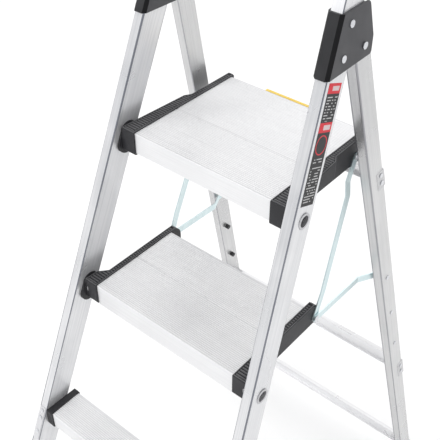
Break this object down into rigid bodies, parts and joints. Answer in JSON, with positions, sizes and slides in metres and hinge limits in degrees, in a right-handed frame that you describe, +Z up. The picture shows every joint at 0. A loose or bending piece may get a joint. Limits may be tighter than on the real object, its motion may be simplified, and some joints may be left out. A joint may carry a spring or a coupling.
{
  "type": "folding platform stepladder",
  "caption": "Folding aluminium platform stepladder with hinged and fixed treads, linked fold-up steps, release latch, tray and hand slot.",
  "frame": {"origin": "on the floor, in the middle of the footprint of the four feet of the open ladder", "axes": "+Z up, +X to the right seen by a person about to climb, +Y from the climbing side to the rear legs"},
  "size_m": [0.5506, 0.9604, 1.676],
  "materials": {
    "rail_aluminium": "brushed and clear anodised",
    "deck_aluminium": "fine ribbed extrusion, mill finish",
    "black_plastic": "fine moulded texture",
    "yellow_plastic": "satin moulded",
    "black_rubber": "matt moulded",
    "zinc_steel": "bright zinc plated",
    "strap_steel": "zinc plated strip",
    "spring_steel": "drawn wire",
    "label_film": "printed film, black with red and pale areas"
  },
  "bodies": {
    "front_frame": {"front_rail_left": "rail_aluminium", "front_rail_right": "rail_aluminium", "front_foot_left": "black_rubber", "front_foot_right": "black_rubber", "hinge_bracket_left": "black_plastic", "hinge_bracket_right": "black_plastic", "hinge_bracket_rivets": "zinc_steel", "hinge_pins": "zinc_steel", "top_tray": "black_plastic", "tray_rivets": "zinc_steel", "first_tread": "deck_aluminium", "first_tread_cap_left": "black_plastic", "first_tread_cap_right": "black_plastic", "second_tread": "deck_aluminium", "second_tread_cap_left": "black_plastic", "second_tread_cap_right": "black_plastic", "first_gusset_left": "rail_aluminium", "first_gusset_right": "rail_aluminium", "second_gusset_left": "rail_aluminium", "second_gusset_right": "rail_aluminium", "gusset_rivets": "zinc_steel", "pivot_tubes": "zinc_steel", "pivot_spacers": "black_plastic", "rail_label": "label_film"},
    "rear_frame": {"rear_leg_left": "rail_aluminium", "rear_leg_right": "rail_aluminium", "rear_foot_left": "black_rubber", "rear_foot_right": "black_rubber", "top_brace": "rail_aluminium", "middle_brace": "rail_aluminium", "bottom_brace": "rail_aluminium", "brace_rivets": "zinc_steel", "leg_rivets": "zinc_steel", "leg_bumpers": "black_rubber"},
    "platform": {"platform_front_plank": "deck_aluminium", "platform_rear_plank": "deck_aluminium", "platform_end_left": "black_plastic", "platform_end_right": "black_plastic", "platform_link_pins": "zinc_steel", "latch_lug_left": "black_plastic", "latch_lug_right": "black_plastic", "latch_pin": "zinc_steel", "latch_springs": "spring_steel"},
    "middle_step": {"middle_front_plank": "deck_aluminium", "middle_rear_plank": "deck_aluminium", "middle_end_left": "black_plastic", "middle_end_right": "black_plastic", "middle_link_pins": "zinc_steel"},
    "upper_link_left": {"upper_link_left": "strap_steel"},
    "lower_link_left": {"lower_link_left": "strap_steel", "lower_link_stud_left": "zinc_steel"},
    "upper_link_right": {"upper_link_right": "strap_steel"},
    "lower_link_right": {"lower_link_right": "strap_steel", "lower_link_stud_right": "zinc_steel"},
    "release_latch": {"release_latch": "yellow_plastic"}
  },
  "joints": [
    {"name": "frame_fold", "type": "hinge", "parent": "front_frame", "child": "rear_frame", "pos_m": [0, 0.10828, 1.3004], "axis": [-1, 0, 0], "range_deg": [0, 36.25]},
    {"name": "platform_fold", "type": "hinge", "parent": "front_frame", "child": "platform", "pos_m": [0, -0.02569, 1.0809], "axis": [1, 0, 0], "range_deg": [0, 63.66]},
    {"name": "middle_step_fold", "type": "hinge", "parent": "front_frame", "child": "middle_step", "pos_m": [0, -0.13235, 0.8059], "axis": [1, 0, 0], "range_deg": [0, 63.66]},
    {"name": "upper_link_left_turn", "type": "hinge", "parent": "platform", "child": "upper_link_left", "pos_m": [0, 0.17331, 1.0729], "axis": [-1, 0, 0], "range_deg": [0, 63.66]},
    {"name": "lower_link_left_turn", "type": "hinge", "parent": "middle_step", "child": "lower_link_left", "pos_m": [0, 0.06665, 0.7979], "axis": [-1, 0, 0], "range_deg": [0, 166.01]},
    {"name": "upper_link_right_turn", "type": "hinge", "parent": "platform", "child": "upper_link_right", "pos_m": [0, 0.17331, 1.0729], "axis": [-1, 0, 0], "range_deg": [0, 63.66]},
    {"name": "lower_link_right_turn", "type": "hinge", "parent": "middle_step", "child": "lower_link_right", "pos_m": [0, 0.06665, 0.7979], "axis": [-1, 0, 0], "range_deg": [0, 166.01]},
    {"name": "latch_release", "type": "hinge", "parent": "platform", "child": "release_latch", "pos_m": [0, 0.20121, 1.085], "axis": [1, 0, 0], "range_deg": [0, 15], "stiffness_Nm_per_rad": 0.5, "springref_deg": -20.05}
  ],
  "couplings": [
    {"joint": "platform_fold", "follows": "frame_fold", "ratio": 1.756},
    {"joint": "middle_step_fold", "follows": "frame_fold", "ratio": 1.756},
    {"joint": "upper_link_left_turn", "follows": "frame_fold", "ratio": 1.756},
    {"joint": "lower_link_left_turn", "follows": "frame_fold", "ratio": 4.5795},
    {"joint": "upper_link_right_turn", "follows": "frame_fold", "ratio": 1.756},
    {"joint": "lower_link_right_turn", "follows": "frame_fold", "ratio": 4.5795}
  ]
}
